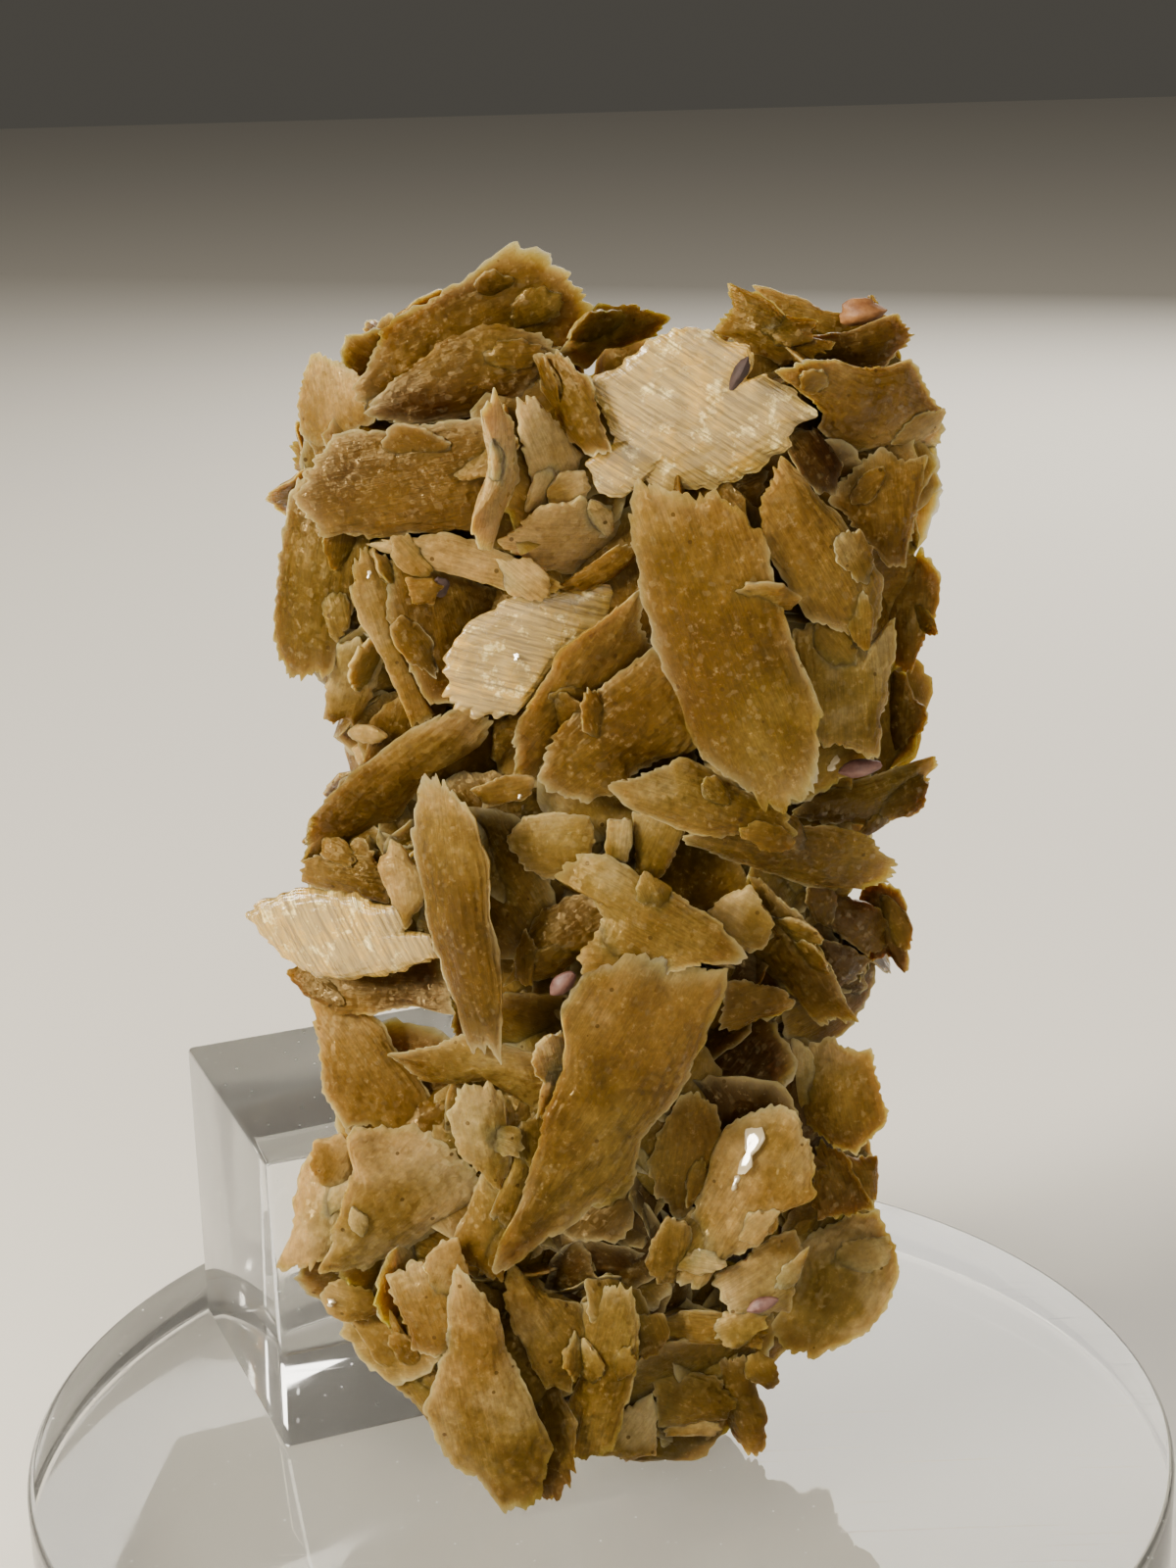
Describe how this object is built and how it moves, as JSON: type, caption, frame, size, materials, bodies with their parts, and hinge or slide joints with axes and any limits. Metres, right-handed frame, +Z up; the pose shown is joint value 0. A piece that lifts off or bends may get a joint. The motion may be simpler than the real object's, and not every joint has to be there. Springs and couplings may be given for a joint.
{
  "type": "magnesite crystal specimen",
  "caption": "Cluster of flattened amber-brown magnesite crystals, standing on a clear acrylic disc and leaning on a clear acrylic block.",
  "frame": {"origin": "centre of the clear disc's underside", "axes": "+Z up through the specimen, -Y towards the side that is shown, +X to its right"},
  "size_m": [0.075, 0.075, 0.088],
  "materials": {
    "magnesite": "vitreous, translucent",
    "clear_acrylic": "clear, polished"
  },
  "bodies": {
    "root": {"crystal_cluster": "magnesite", "rest_block": "clear_acrylic", "base_disc": "clear_acrylic"}
  },
  "joints": []
}
